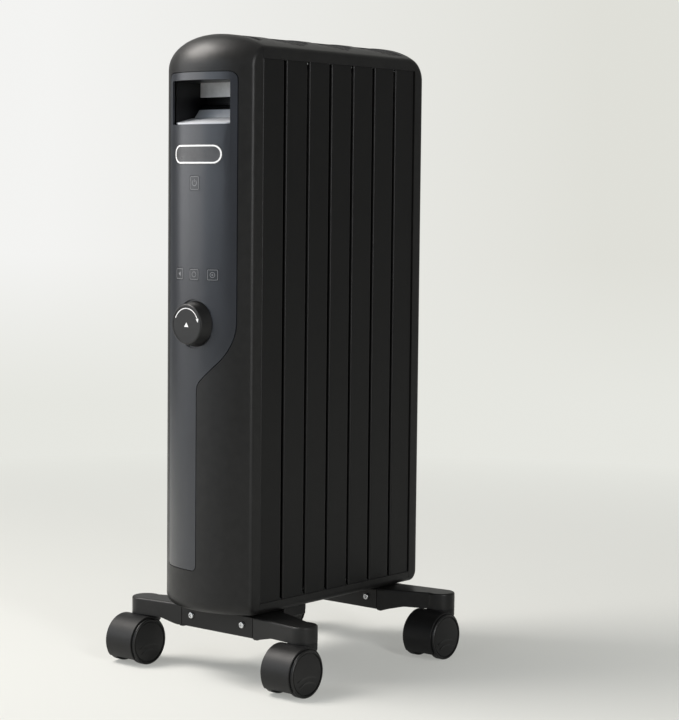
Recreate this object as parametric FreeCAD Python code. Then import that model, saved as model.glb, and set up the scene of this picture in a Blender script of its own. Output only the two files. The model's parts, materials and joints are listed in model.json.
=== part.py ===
import FreeCAD, Part
import math
import os

# Modular electric radiator on four castors.
# Millimetres. X runs to the right seen from the front, Y to the back and Z up.
# Everything is drawn about the middle of the body and is moved along Y once, when it is
# written, so that the origin is the bottom centre of the whole object.

Vector = FreeCAD.Vector
X_AXIS = Vector(1, 0, 0)
Y_AXIS = Vector(0, 1, 0)
Z_AXIS = Vector(0, 0, 1)

# ---------------------------------------------------------------- driving dimensions
overall_height = 664.0
body_width = 119.6
bow_radius = 88.0            # plan curve of the front and rear faces
crown_radius = 130.0         # arch of the top across the width
dome_middle = 36.0           # rounding from the faces into the top, in the middle
dome_side = 22.0             # the same at the two sides
bottom_rounding = 12.0
edge_rounding = 6.0          # all round the two side faces
shell_wall = 2.5
seam = 0.2                   # line between neighbouring mouldings
seat_gap = 0.05              # between a curved cover and the ledge that it sits on
running_gap = 0.3            # between neighbours that move

wheel_radius = 24.4          # castors
wheel_outer = 21.7           # half of a castor's width over its wheels
wheel_tread = 9.0
wheel_hub_radius = 6.0
wheel_rim = 3.6
web_half = 5.0
hood_half = 18.7
hood_fit = 0.5               # between wheel and hood
hood_wall = 1.7
hood_headroom = 1.0          # between a hood and the arm above it
hood_front_angle = 37.0      # how far the hood wraps below the axle, front and back
hood_back_angle = 13.0
castor_x = 110.9             # swivel axes
castor_y = 116.2
castor_trail = 16.3
axle_radius = 2.5
axle_fit = 0.05
stem_radius = 4.0
stem_fit = 0.05
stem_depth = 11.6            # lower end of a stem above the axle
stem_cover = 4.5             # arm left over the upper end
socket_headroom = 0.4
boss_radius = 15.4
collar_height = 10.0

arm_drop = 5.0               # crossbar's underside below the castor bosses
arm_height = 22.5
arm_rounding = 2.2
arm_lift_start = 58.0        # where an arm's underside starts to rise to its boss
arm_lift_end = 79.0
bar_half = 50.0              # middle length of a crossbar
bar_outer = 124.5
bar_depth = 45.0
bar_wall = 2.0
tongue_length = 24.0
tongue_fit = 0.3
arm_seam = 0.8               # open line between a crossbar's end and its arm
bar_screw_x = 35.9
bar_screw_rise = 12.5
bar_screw_length = 14.0
base_bolt_x = 18.0
base_bolt_reach = 4.0        # length of a base bolt above the crossbar
base_clearance = 3.1         # from the crossbars to the body's underside
screw_radius = 1.9
screw_head_radius = 3.3
screw_head_height = 2.0
cross_half_width = 0.4       # cross recess in the screws' heads
cross_reach = 2.0

panel_sill = 11.5            # base tray seen under the panels
cover_height = 26.3          # top cover over the panels, in the middle
panel_pitch = 35.8
panel_count = 7
end_room = 35.7              # from either end of the row of panels to the body's nose
panel_gap = 3.4
panel_thickness = 2.6
panel_edge = 1.9             # rounding of a panel's long outer edges
panel_recess = 0.8           # panels lie this far inside the frame's sides
leg_thickness = 2.2
leg_foot = 9.0               # where a leg meets its panel, from the module's middle
hub_radius = 9.0
hub_screw_offset = 6.6       # two screws in each end of a hub, beside the element
hub_screw_radius = 1.2
hub_screw_head = 2.1
hub_screw_length = 8.0
element_radius = 4.2
element_fit = 0.05
element_stub = 3.0           # sheath past the lower frame plate
element_head = 4.0           # sheath past the upper one
terminal_length = 7.0
frame_hole_fit = 0.5         # round each element, in the frame plates
frame_thickness = 2.0
frame_margin = 0.6           # frame plate inside the mouldings

control_half_width = 46.3    # gloss control panel
control_cap = 40.4           # shell above the panel
control_foot = 43.9          # shell below the panel
control_strip_edge = 3.5     # right edge of the narrow lower strip
control_shoulder_drop = 21.8  # from the knob down to where the panel starts to narrow
control_neck_drop = 39.9     # from there down to the strip
control_thickness = 2.4
control_groove = 0.8
ledge_width = 4.0
ledge_thickness = 2.0

pocket_half_width = 39.7     # hand pocket
pocket_lintel = 7.6          # panel above the pocket
pocket_height = 44.5
pocket_wall = 1.5
pocket_clearance = 0.5       # from its rear wall to the first module
sill_roll = 5.0
slope_depth = 41.0           # where its floor starts to rise, behind the body's nose
slope_rise = 8.5
grip_setback = 12.0          # plate that the fingers hook behind, before the rear wall
grip_thickness = 2.0
grip_height = 15.0
grip_opening = 10.0

plate_drop = 30.0            # blank name plate below the pocket
plate_length = 66.0
plate_height = 20.5
plate_thickness = 0.8

button_fit = 0.3
button_travel = 0.8
button_radius = 2.2
button_flange = 1.2
button_flange_lip = 1.5
power_drop = 28.9            # power button below the name plate
power_width = 13.0
power_height = 14.5
key_drop = 92.3              # keys below the power button
key_width = 13.0
key_height = 11.6
key_spacing = 22.8

knob_drop = 50.3             # knob below the keys
knob_base_radius = 23.3
knob_face_radius = 20.3
knob_height = 13.4
knob_rounding = 1.6
knob_dish_radius = 18.2      # shallow round dish in its face
knob_dish_depth = 0.3
knob_recess_radius = 25.0
knob_recess_depth = 2.6      # flat floor behind the crest of the bowed panel
knob_boss_wall = 2.2
knob_bore_depth = 8.0
shaft_radius = 3.0
shaft_fit = 0.05
bushing_radius = 4.5
encoder_size = 14.0
encoder_depth = 6.0

board_thickness = 1.6
board_setback = 17.0         # control board behind the body's nose
board_half_width = 34.0
control_board_rise = 45.4    # its upper end above the power button
control_board_drop = 25.0    # its lower end below the knob
switch_size = 6.0
power_board_gap = 45.0       # between the two boards
power_board_setback = 6.0
power_board_foot = 37.4
shield_thickness = 1.0
shield_gap = 0.5             # from the heat shield to the panels

gland_rise = 45.4
gland_x = -30.0
gland_bore = 3.9
gland_radius = 7.5
gland_flange = 10.0
gland_proud = 4.0

tilt_x0 = 12.0               # tip-over switch housing under the base
tilt_length = 40.0
tilt_width = 35.0
tilt_gap = 2.5               # from the front crossbar
tilt_height = 11.6
tilt_wall = 1.6

vent_slot = 4.6
vent_bar = 2.4
vent_bar_drop = 1.3          # top of a bar below the cover around it
vent_reach = 51.0            # half length of the longest slot, across the top
vent_rib = 13.0              # solid rib left between two vents
vent_web_half = 3.0          # half width of the web along the middle
end_wall = 6.0
inlet_half = 4.0             # air inlets in the base, half their length along Y
inlet_reach = 46.0
rib_half = 1.2               # half thickness of the ribs under the cover and in the base
notch_half = 12.0            # half width of the notch that lets an element's end through

# ---------------------------------------------------------------- places that follow
axle_level = wheel_radius
drum_radius = wheel_radius + hood_fit + hood_wall
boss_bottom = axle_level + drum_radius + hood_headroom
collar_bottom = boss_bottom - collar_height
stem_bottom = axle_level + stem_depth
arm_low = boss_bottom - arm_drop
arm_top = arm_low + arm_height
stem_top = arm_top - stem_cover
bar_inner = bar_outer - bar_depth
bar_screw_level = arm_low + bar_screw_rise
tongue_end = bar_half - tongue_length
body_bottom = arm_top + base_clearance
panel_bottom = body_bottom + panel_sill
panel_top = overall_height - cover_height
gland_level = body_bottom + gland_rise

tilt_x1 = tilt_x0 + tilt_length
tilt_y0 = -bar_inner + tilt_gap
tilt_y1 = tilt_y0 + tilt_width
tilt_low = body_bottom - tilt_height

half_width = body_width / 2
nose = panel_count * panel_pitch / 2 + end_room
panel_zone = panel_count * panel_pitch / 2 - panel_gap / 2 + 0.9
module_pitch = 2 * panel_pitch
module_centres = [-panel_pitch * 2.5 + i * module_pitch for i in range(3)]

control_top = overall_height - control_cap
control_bottom = body_bottom + control_foot
pocket_top = control_top - pocket_lintel
pocket_sill = pocket_top - pocket_height
pocket_back = module_centres[0] - hub_radius - pocket_clearance
grip_face = pocket_back - grip_setback
grip_bottom = pocket_top - grip_height
slot_bottom = grip_bottom - grip_opening
slope_front = -(nose - slope_depth)
slope_height = pocket_sill + slope_rise
plate_level = pocket_sill - plate_drop
power_level = plate_level - power_drop
key_level = power_level - key_drop
knob_level = key_level - knob_drop
control_shoulder = knob_level - control_shoulder_drop
control_neck = control_shoulder - control_neck_drop

knob_face = -(nose - knob_recess_depth) - running_gap - knob_height
board_front = -(nose - board_setback)
power_board_front = board_front + power_board_setback
control_board_bottom = knob_level - control_board_drop
control_board_top = power_level + control_board_rise
power_board_bottom = body_bottom + power_board_foot
power_board_top = control_board_bottom - power_board_gap
shield_face = -(panel_zone + shield_gap)

# The knob stands proud of the front, so the middle of the object lies before the body's.
origin_shift = -(knob_face + nose) / 2

os.makedirs("parts", exist_ok=True)


# ---------------------------------------------------------------- drawing helpers
def box(x0, x1, y0, y1, z0, z1):
    return Part.makeBox(x1 - x0, y1 - y0, z1 - z0, Vector(x0, y0, z0))


def rod(radius, start, axis, length):
    return Part.makeCylinder(radius, length, Vector(*start), axis)


def cone(r0, r1, start, axis, length):
    return Part.makeCone(r0, r1, length, Vector(*start), axis)


def in_front_view(a, b):
    return Vector(a, 0, b)


def in_plan(a, b):
    return Vector(a, b, 0)


def outline(corners, place):
    """Closed wire through corners (a, b, radius), each corner rounded to its radius."""
    edges = []
    ends = []
    count = len(corners)
    for i, (a, b, radius) in enumerate(corners):
        here = Vector(a, b, 0)
        before = Vector(corners[i - 1][0], corners[i - 1][1], 0) - here
        after = Vector(corners[(i + 1) % count][0], corners[(i + 1) % count][1], 0) - here
        before.normalize()
        after.normalize()
        if radius == 0:
            ends.append((here, here, None))
            continue
        half_angle = before.getAngle(after) / 2
        reach = radius / math.tan(half_angle)
        middle = before + after
        middle.normalize()
        crest = here + middle * (radius / math.sin(half_angle) - radius)
        ends.append((here + before * reach, here + after * reach, crest))
    for i, (start, end, crest) in enumerate(ends):
        if crest is not None:
            points = [place(p.x, p.y) for p in (start, crest, end)]
            edges.append(Part.Arc(*points).toShape())
        following = ends[(i + 1) % count][0]
        if (following - end).Length > 1e-6:
            edges.append(Part.LineSegment(place(end.x, end.y), place(following.x, following.y)).toShape())
    return Part.Wire(edges)


def rectangle(x, z, width, height, radius):
    left, right = x - width / 2, x + width / 2
    low, high = z - height / 2, z + height / 2
    corners = [(left, low, radius), (right, low, radius), (right, high, radius), (left, high, radius)]
    return outline(corners, in_front_view)


def through_front(wire, y0, y1):
    """Prism of a front-view wire between two depths."""
    face = Part.Face(wire)
    face.translate(Vector(0, y0, 0))
    return face.extrude(Vector(0, y1 - y0, 0))


def along_x(points, x0, x1):
    """Prism of a closed polygon of (y, z) points between two widths."""
    wire = Part.makePolygon([Vector(x0, y, z) for y, z in points + points[:1]])
    return Part.Face(wire).extrude(Vector(x1 - x0, 0, 0))


def turned(profile, origin, axis):
    """Solid of revolution of a closed polygon already drawn beside its axis."""
    wire = Part.makePolygon(profile + profile[:1])
    return Part.Face(wire).revolve(Vector(*origin), axis, 360)


def fused(first, *others):
    return first.fuse(list(others)).removeSplitter() if others else first


def write(name, shape):
    moved = shape.copy()
    moved.translate(Vector(0, origin_shift, 0))
    moved.exportStep("parts/" + name + ".step")


def mirrored_x(shape):
    return shape.mirror(Vector(0, 0, 0), X_AXIS)


def mirrored_y(shape):
    return shape.mirror(Vector(0, 0, 0), Y_AXIS)


# ---------------------------------------------------------------- outer form of the body
def bow_depth(x, inset=0.0):
    """Distance of the bowed front or rear face from the middle of the body."""
    radius = bow_radius - inset
    return nose - inset - radius + math.sqrt(radius ** 2 - x ** 2)


def crown_height(x, inset=0.0):
    radius = crown_radius - inset
    return overall_height - inset - radius + math.sqrt(radius ** 2 - x ** 2)


def body_form(inset):
    """The body's outer form, moved inwards all round by inset."""
    sections = []
    side = half_width - inset
    for share in (-1.0, -0.7, -0.35, 0.0, 0.35, 0.7, 1.0):
        x = share * side
        depth = bow_depth(x, inset)
        top = crown_height(x, inset)
        dome = dome_middle - (dome_middle - dome_side) * share ** 2 - inset
        low = body_bottom + inset
        foot = bottom_rounding - inset
        corners = [(-depth, low, foot), (depth, low, foot), (depth, top, dome), (-depth, top, dome)]
        sections.append(outline(corners, lambda y, z, x=x: Vector(x, y, z)))
    form = Part.makeLoft(sections, True, False)
    rims = [e for e in form.Edges
            if all(abs(abs(v.X) - side) < 1e-4 for v in e.Vertexes)
            and abs(e.Vertexes[0].X - e.Vertexes[-1].X) < 1e-4]
    return form.makeFillet(max(edge_rounding - inset, 0.8), rims)


outer_form = body_form(0.0)
inner_form = body_form(shell_wall)
skin = outer_form.cut(inner_form)
far = nose + 60


def front_half(y):
    return box(-far, far, -far, y, 0, overall_height + 50)


# ---------------------------------------------------------------- front shell and panel
def control_outline(grow=0.0):
    corners = [
        (-control_half_width, control_bottom, 5),
        (control_strip_edge, control_bottom, 5),
        (control_strip_edge, control_neck, 16),
        (control_half_width, control_shoulder, 58),
        (control_half_width, control_top, 8),
        (-control_half_width, control_top, 8),
    ]
    wire = outline(corners, in_front_view)
    if grow:
        wire = wire.makeOffset2D(grow)
    return wire


def control_prism(grow=0.0):
    return through_front(control_outline(grow), -far, -board_half_width)


panel_back_form = body_form(control_thickness)
ledge_front_form = body_form(control_thickness + seat_gap)
ledge_back_form = body_form(control_thickness + ledge_thickness)
plate_back_form = body_form(plate_thickness)
plate_seat_form = body_form(plate_thickness + seat_gap)
pocket_middle = (pocket_top + pocket_sill) / 2
pocket_window = rectangle(0, pocket_middle, 2 * pocket_half_width, pocket_height, 1.5)


def front_shell():
    shell = skin.common(front_half(-panel_zone))
    shell = shell.cut(control_prism(control_groove))
    ledge = ledge_front_form.cut(ledge_back_form).common(front_half(-panel_zone))
    ledge = ledge.common(control_prism(control_groove + shell_wall))
    ledge = ledge.cut(control_prism(-ledge_width))
    shell = shell.fuse(ledge)
    pocket_hole = through_front(pocket_window, -far, -panel_zone)
    return shell.cut(pocket_hole).removeSplitter()


def button_places():
    places = {"power_button": (0.0, power_level, power_width, power_height)}
    for name, step in (("left_key", -1), ("middle_key", 0), ("right_key", 1)):
        places[name] = (step * key_spacing, key_level, key_width, key_height)
    return places


def control_panel():
    panel = outer_form.cut(panel_back_form).common(control_prism())
    boss = rod(knob_recess_radius + knob_boss_wall, (0, -far, knob_level), Y_AXIS,
               far - nose + knob_recess_depth + knob_boss_wall)
    panel = panel.fuse(boss.common(outer_form))
    recess = rod(knob_recess_radius, (0, -far, knob_level), Y_AXIS, far - nose + knob_recess_depth)
    bushing_hole = rod(bushing_radius + 0.2, (0, -far, knob_level), Y_AXIS, far)
    panel = panel.cut(recess).cut(bushing_hole)
    for x, z, width, height in button_places().values():
        hole = rectangle(x, z, width + 2 * button_fit, height + 2 * button_fit, button_radius)
        panel = panel.cut(through_front(hole, -far, -board_half_width))
    panel = panel.cut(through_front(pocket_window, -far, 0))
    seat = rectangle(0, plate_level, plate_length + 0.4, plate_height + 0.4, plate_height / 2)
    seat = through_front(seat, -far, 0).cut(plate_seat_form)
    return panel.cut(seat).removeSplitter()


def name_plate():
    blank = through_front(rectangle(0, plate_level, plate_length, plate_height, plate_height / 2 - 0.1),
                          -far, 0)
    return blank.common(outer_form).cut(plate_back_form)


def hand_pocket():
    """Lining of the hand pocket: side walls, ceiling, rising floor and rear wall."""
    inner_back = pocket_back - pocket_wall
    floor = [
        (-far, pocket_sill), (-bow_depth(0) + sill_roll + 6, pocket_sill + 2), (slope_front, slope_height),
        (grip_face, slot_bottom), (inner_back, slot_bottom + 3), (inner_back, pocket_top),
        (-far, pocket_top),
    ]
    hollow = along_x(floor, -pocket_half_width, pocket_half_width)
    drop = pocket_wall
    skin_floor = [
        (-far, pocket_sill - drop), (-bow_depth(0) + sill_roll + 6, pocket_sill + 2 - drop),
        (slope_front, slope_height - drop), (grip_face, slot_bottom - drop - 0.6),
        (pocket_back, slot_bottom + 3 - drop), (pocket_back, pocket_top + pocket_wall),
        (-far, pocket_top + pocket_wall),
    ]
    side = pocket_half_width + pocket_wall
    lining = along_x(skin_floor, -side, side).cut(hollow)
    return lining.common(ledge_back_form)


def grip_plate():
    """Plate with a top flange, hooked under the pocket's ceiling."""
    inner_back = pocket_back - pocket_wall
    points = [
        (grip_face, grip_bottom), (grip_face + grip_thickness, grip_bottom),
        (grip_face + grip_thickness, pocket_top - 2), (inner_back, pocket_top - 2),
        (inner_back, pocket_top), (grip_face, pocket_top),
    ]
    plate = along_x(points, -pocket_half_width + 0.2, pocket_half_width - 0.2)
    lower = [e for e in plate.Edges
             if all(abs(v.Z - grip_bottom) < 1e-4 for v in e.Vertexes) and e.Length > 20]
    return plate.makeFillet(0.7, lower)


def push_button(x, z, width, height):
    cap = through_front(rectangle(x, z, width, height, button_radius), -far, -board_half_width)
    cap = cap.common(outer_form)
    edge = abs(x) + width / 2 + button_flange_lip
    flange_front = -bow_depth(edge, control_thickness) + running_gap
    keep = front_half(flange_front + button_flange)
    cap = cap.common(keep)
    flange = rectangle(x, z, width + 2 * button_flange_lip, height + 2 * button_flange_lip, button_radius)
    flange = through_front(flange, flange_front, flange_front + button_flange)
    plunger_length = board_front - 1.9 - button_travel - running_gap - flange_front
    plunger = rod(2.0, (x, flange_front, z), Y_AXIS, plunger_length)
    return fused(cap, flange, plunger)


def knob():
    base = knob_face + knob_height
    grip = cone(knob_face_radius, knob_base_radius, (0, knob_face, knob_level), Y_AXIS, knob_height)
    rim = [e for e in grip.Edges if all(abs(v.Y - knob_face) < 1e-4 for v in e.Vertexes)
           and abs(e.BoundBox.YLength) < 1e-4]
    grip = grip.makeFillet(knob_rounding, rim[:1])
    dish = rod(knob_dish_radius, (0, knob_face - 1, knob_level), Y_AXIS, 1 + knob_dish_depth)
    hollow = rod(knob_base_radius - 3.0, (0, base - 4.0, knob_level), Y_AXIS, 5.0)
    hub = rod(6.5, (0, base - 4.0, knob_level), Y_AXIS, 4.0)
    bore = rod(shaft_radius, (0, base - knob_bore_depth, knob_level), Y_AXIS, knob_bore_depth + 1)
    return grip.cut(hollow).fuse(hub).cut([bore, dish]).removeSplitter()


def knob_shaft():
    start = knob_face + knob_height - knob_bore_depth
    end = board_front - 1.0
    return rod(shaft_radius, (0, start, knob_level), Y_AXIS, end - start)


def encoder():
    back = board_front
    half = encoder_size / 2
    body = box(-half, half, back - encoder_depth, back, knob_level - half, knob_level + half)
    bushing_start = -(nose - knob_recess_depth) + 0.6
    bushing_length = back - encoder_depth - bushing_start
    bushing = rod(bushing_radius, (0, bushing_start, knob_level), Y_AXIS, bushing_length)
    bore = rod(shaft_radius + shaft_fit, (0, bushing_start - 1, knob_level), Y_AXIS,
               back - 0.8 - bushing_start + 1)
    return body.fuse(bushing).cut(bore).removeSplitter()


def control_board():
    board = box(-board_half_width, board_half_width, board_front, board_front + board_thickness,
                control_board_bottom, control_board_top)
    shape = board
    half = switch_size / 2
    for x, z, width, height in button_places().values():
        switch = box(x - half, x + half, board_front - 1.2, board_front, z - half, z + half)
        stud = rod(1.4, (x, board_front - 1.9, z), Y_AXIS, 0.8)
        shape = shape.fuse([switch, stud])
    processor = box(-6, 6, board_front - 1.0, board_front, power_level - 54.6, power_level - 42.6)
    display = box(-18, 18, board_front - 5.0, board_front, power_level - 36.6, power_level - 16.6)
    return shape.fuse([processor, display]).removeSplitter()


def power_board():
    front = power_board_front
    low = power_board_bottom
    board = box(-board_half_width, board_half_width, front, front + board_thickness,
                power_board_bottom, power_board_top)
    shape = board
    for z in (low + 40, low + 75, low + 110):
        shape = shape.fuse(box(-28, -8, front - 9.5, front, z, z + 16))
    capacitor = rod(6.0, (14, front - 9.0, low + 55), Z_AXIS, 24)
    seat = box(10, 18, front - 4, front, low + 55, low + 79)
    terminals = box(-20, 22, front - 8.0, front, low + 8, low + 18)
    return shape.fuse([capacitor, seat, terminals]).removeSplitter()


def heat_shield():
    """Steel sheet between the electronics and the first module."""
    side = half_width - shell_wall - 0.4
    low = body_bottom + bottom_rounding + 3
    high = slope_height - 14
    sheet = box(-side, side, shield_face - shield_thickness, shield_face, low, high)
    levels = (control_board_top - 20, control_board_bottom + 20, power_board_top - 15,
              power_board_bottom + 15)
    for z in levels:
        front = power_board_front if z < power_board_top else board_front
        back = front + board_thickness
        for x in (-board_half_width + 5, board_half_width - 5):
            standoff = rod(2.5, (x, back, z), Y_AXIS, shield_face - shield_thickness - back)
            sheet = sheet.fuse(standoff)
    return sheet.removeSplitter()


# ---------------------------------------------------------------- rear shell and covers
def rear_shell():
    shell = mirrored_y(skin.common(front_half(-panel_zone)))
    depth = bow_depth(gland_x)
    hole = rod(gland_radius, (gland_x, depth - 12, gland_level), Y_AXIS, 30)
    return shell.cut(hole).removeSplitter()


def cord_gland():
    depth = bow_depth(gland_x)
    start = depth - 11
    body = rod(gland_radius, (gland_x, start, gland_level), Y_AXIS, 11 + gland_proud - 2)
    flange = rod(gland_flange, (gland_x, start, gland_level), Y_AXIS, 2.0)
    mouth = (gland_x, depth + gland_proud - 2, gland_level)
    outer = cone(gland_radius, gland_radius - 2, mouth, Y_AXIS, 2.0)
    bore = rod(gland_bore, (gland_x, start - 1, gland_level), Y_AXIS, 30)
    return body.fuse([flange, outer]).cut(bore).removeSplitter()


def vent_half_length(y):
    """Half length of a vent slot, by its distance from the rib behind or before it."""
    nearest = min(abs(y - c) for c in module_centres)
    from_rib = nearest - vent_rib / 2
    middle = panel_pitch - vent_rib / 2
    return vent_reach - 16.0 * (1 - min(from_rib / middle, 1.0))


def across_vent(side, reach, y0, y1):
    """Box over one side of the cover, from the middle web out to reach."""
    x0, x1 = sorted((side * vent_web_half, side * reach))
    return box(x0, x1, y0, y1, panel_top + 4, overall_height + 5)


def top_cover():
    zone = box(-far, far, -panel_zone + seam, panel_zone - seam, panel_top, overall_height + 5)
    cover = skin.common(zone)
    rib_foot = panel_top + frame_thickness
    notch_top = rib_foot + element_head + terminal_length + 2
    ribs = []
    for centre in module_centres:
        rib = box(-half_width + 6, half_width - 6, centre - rib_half, centre + rib_half, rib_foot,
                  overall_height)
        rib = rib.cut(box(-notch_half, notch_half, centre - 2, centre + 2, panel_top, notch_top))
        ribs.append(rib.common(inner_form))
    cover = cover.fuse(ribs)
    step = vent_slot + vent_bar
    count = int((panel_zone - end_wall) / step)
    slots = []
    bars = []
    before = None
    for i in range(-count, count + 1):
        y = i * step
        on_rib = min(abs(y - c) for c in module_centres) < vent_rib / 2 + vent_slot / 2
        if on_rib or panel_zone - abs(y) < end_wall + vent_slot / 2:
            before = None
            continue
        reach = vent_half_length(y)
        for side in (-1, 1):
            slots.append(across_vent(side, reach, y - vent_slot / 2, y + vent_slot / 2))
            if before is not None:
                shorter = min(before, reach)
                bars.append(across_vent(side, shorter, y - step + vent_slot / 2, y - vent_slot / 2))
        before = reach
    over_bars = Part.makeCompound(bars).cut(body_form(vent_bar_drop))
    return cover.cut(slots).cut(over_bars).removeSplitter()


def base_tray():
    zone = box(-far, far, -panel_zone + seam, panel_zone - seam, 0, panel_bottom)
    tray = skin.common(zone)
    rib_top = panel_bottom - frame_thickness
    additions = []
    for centre in module_centres + [module_centres[-1] + module_pitch - 16]:
        rib = box(-half_width + 4, half_width - 4, centre - rib_half, centre + rib_half, body_bottom + 1,
                  rib_top)
        notch = box(-notch_half, notch_half, centre - 2, centre + 2, body_bottom + shell_wall, rib_top)
        additions.append(rib.cut(notch))
    for side in (-1, 1):
        y0, y1 = sorted((side * (bar_outer - 6), side * (bar_inner + 1)))
        additions.append(box(-bar_half + 4, bar_half - 4, y0, y1, arm_top, body_bottom + shell_wall))
    tray = tray.fuse(additions)
    cuts = []
    for i in range(-4, 5):
        y = i * panel_pitch / 2
        over_rib = min(abs(y - c) for c in module_centres) < inlet_half + rib_half
        if over_rib or abs(y) > bar_inner - 8:
            continue
        right = tilt_x0 - 4 if y < tilt_y1 + inlet_half else inlet_reach
        cuts.append(box(-inlet_reach, right, y - inlet_half, y + inlet_half, body_bottom - 1,
                        body_bottom + shell_wall + 1))
    for x in (-base_bolt_x, base_bolt_x):
        for side in (-1, 1):
            y = side * (bar_outer + bar_inner) / 2
            cuts.append(rod(screw_radius, (x, y, body_bottom - 10), Z_AXIS, 20))
    return tray.cut(cuts).removeSplitter()


# ---------------------------------------------------------------- radiating modules
def module_profile_panel(x_side, centre, offset, length, low):
    """One flat radiating strip of a module, with rounded long edges."""
    outer = half_width - panel_recess
    y = centre + offset
    half = (panel_pitch - panel_gap) / 2
    corners = [
        (outer - panel_thickness, y - half, 0), (outer, y - half, panel_edge),
        (outer, y + half, panel_edge), (outer - panel_thickness, y + half, 0),
    ]
    wire = outline(corners, in_plan)
    face = Part.Face(wire)
    face.translate(Vector(0, 0, low))
    strip = face.extrude(Vector(0, 0, length))
    return strip if x_side > 0 else mirrored_x(strip)


def leg(x1, y0, y1, low, length, start=0.0):
    """Flat web from the module's middle to one of its strips."""
    run = math.hypot(x1 - start, y1 - y0)
    nx = -(y1 - y0) / run * leg_thickness / 2
    ny = (x1 - start) / run * leg_thickness / 2
    points = [(start + nx, y0 + ny), (x1 + nx, y1 + ny), (x1 - nx, y1 - ny), (start - nx, y0 - ny)]
    wire = Part.makePolygon([Vector(x, y, low) for x, y in points + points[:1]])
    return Part.Face(wire).extrude(Vector(0, 0, length))


def radiator_module(centre):
    low = panel_bottom + seam
    length = panel_top - panel_bottom - 2 * seam
    pieces = []
    foot = half_width - panel_recess - panel_thickness / 2
    for side in (-1, 1):
        for direction in (-1, 1):
            pieces.append(module_profile_panel(side, centre, direction * panel_pitch / 2, length, low))
            pieces.append(leg(side * foot, centre, centre + direction * leg_foot, low, length))
    hub = rod(hub_radius, (0, centre, low), Z_AXIS, length)
    cuts = [rod(element_radius + element_fit, (0, centre, low - 1), Z_AXIS, length + 2)]
    for x in (-hub_screw_offset, hub_screw_offset):
        for start in (low - 1, low + length - hub_screw_length):
            cuts.append(rod(hub_screw_radius, (x, centre, start), Z_AXIS, hub_screw_length + 1))
    return hub.fuse(pieces).cut(cuts).removeSplitter()


def rear_fin_panel():
    """Closing half module: two strips joined by a spine just before the rear shell."""
    low = panel_bottom + seam
    length = panel_top - panel_bottom - 2 * seam
    centre = module_centres[-1] + module_pitch
    foot = half_width - panel_recess - panel_thickness / 2
    spine_y = panel_zone - 6.0
    pieces = []
    for side in (-1, 1):
        pieces.append(module_profile_panel(side, centre, -panel_pitch / 2, length, low))
        pieces.append(leg(side * foot, spine_y, spine_y - 9.0, low, length, side * 20.0))
    spine = box(-21.0, 21.0, spine_y - leg_thickness / 2, spine_y + leg_thickness / 2, low, low + length)
    limit = box(-far, far, 0, panel_zone - seam, 0, overall_height)
    return spine.fuse(pieces).common(limit).removeSplitter()


def first_module():
    limit = box(-far, far, -panel_zone + seam, far, 0, overall_height)
    return radiator_module(module_centres[0]).common(limit)


def frame_plate(low):
    side = half_width - shell_wall - frame_margin
    reach = panel_zone - 1.0
    plate = box(-side, side, -reach, reach, low, low + frame_thickness)
    cuts = []
    for centre in module_centres:
        cuts.append(rod(element_radius + frame_hole_fit, (0, centre, low - 1), Z_AXIS, frame_thickness + 2))
        for x in (-hub_screw_offset, hub_screw_offset):
            cuts.append(rod(hub_screw_radius, (x, centre, low - 1), Z_AXIS, frame_thickness + 2))
    flue_centres = [c + panel_pitch for c in module_centres[:-1]]
    for centre in flue_centres:
        for sx in (-1, 1):
            x0, x1 = sorted((sx * 4.0, sx * (side - 9.0)))
            cuts.append(box(x0, x1, centre - 24, centre + 24, low - 1, low + frame_thickness + 1))
    for sx in (-1, 1):
        x0, x1 = sorted((sx * 4.0, sx * (side - 9.0)))
        cuts.append(box(x0, x1, -reach + 4, module_centres[0] - 12, low - 1, low + frame_thickness + 1))
        cuts.append(box(x0, x1, module_centres[-1] + 12, reach - 12, low - 1, low + frame_thickness + 1))
    return plate.cut(cuts).removeSplitter()


def heating_element(centre):
    low = panel_bottom - frame_thickness - element_stub
    high = panel_top + frame_thickness + element_head
    sheath = rod(element_radius, (0, centre, low), Z_AXIS, high - low)
    terminal = rod(1.6, (0, centre, high), Z_AXIS, terminal_length)
    collar = rod(2.8, (0, centre, high), Z_AXIS, 2.0)
    return sheath.fuse([terminal, collar]).removeSplitter()


def thermal_cutouts():
    solids = []
    base = panel_top + frame_thickness - seam
    for centre in module_centres:
        can = rod(6.5, (-19.0, centre + 7.9, base), Z_AXIS, 5.0)
        blades = [box(-19.0 + dx, -18.0 + dx, centre + 5.4, centre + 10.4, base + 5.0, base + 10.0)
                  for dx in (-4.0, 3.0)]
        solids.append(can.fuse(blades).removeSplitter())
    return Part.makeCompound(solids)


def module_screws():
    """Cap screws that hold the two frame plates to the modules' hubs."""
    solids = []
    faces = ((panel_top - seam + frame_thickness, 1), (panel_bottom + seam - frame_thickness, -1))
    for centre in module_centres:
        for x in (-hub_screw_offset, hub_screw_offset):
            for face, outward in faces:
                head = rod(hub_screw_head, (x, centre, face), Z_AXIS * outward, 1.2)
                shank = rod(hub_screw_radius, (x, centre, face), Z_AXIS * -outward, hub_screw_length)
                solids.append(head.fuse(shank).removeSplitter())
    return Part.makeCompound(solids)


# ---------------------------------------------------------------- tip-over switch
def tilt_switch_box():
    case = box(tilt_x0, tilt_x1, tilt_y0, tilt_y1, tilt_low, body_bottom)
    upright = [e for e in case.Edges
               if abs(e.Vertexes[0].Z - e.Vertexes[-1].Z) > 5]
    case = case.makeFillet(2.0, upright)
    lower = [e for e in case.Edges if all(abs(v.Z - tilt_low) < 1e-4 for v in e.Vertexes)]
    case = case.makeFillet(1.2, lower)
    hollow = box(tilt_x0 + tilt_wall, tilt_x1 - tilt_wall, tilt_y0 + tilt_wall, tilt_y1 - tilt_wall,
                 tilt_low + tilt_wall, body_bottom + 1)
    return case.cut(hollow)


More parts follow.
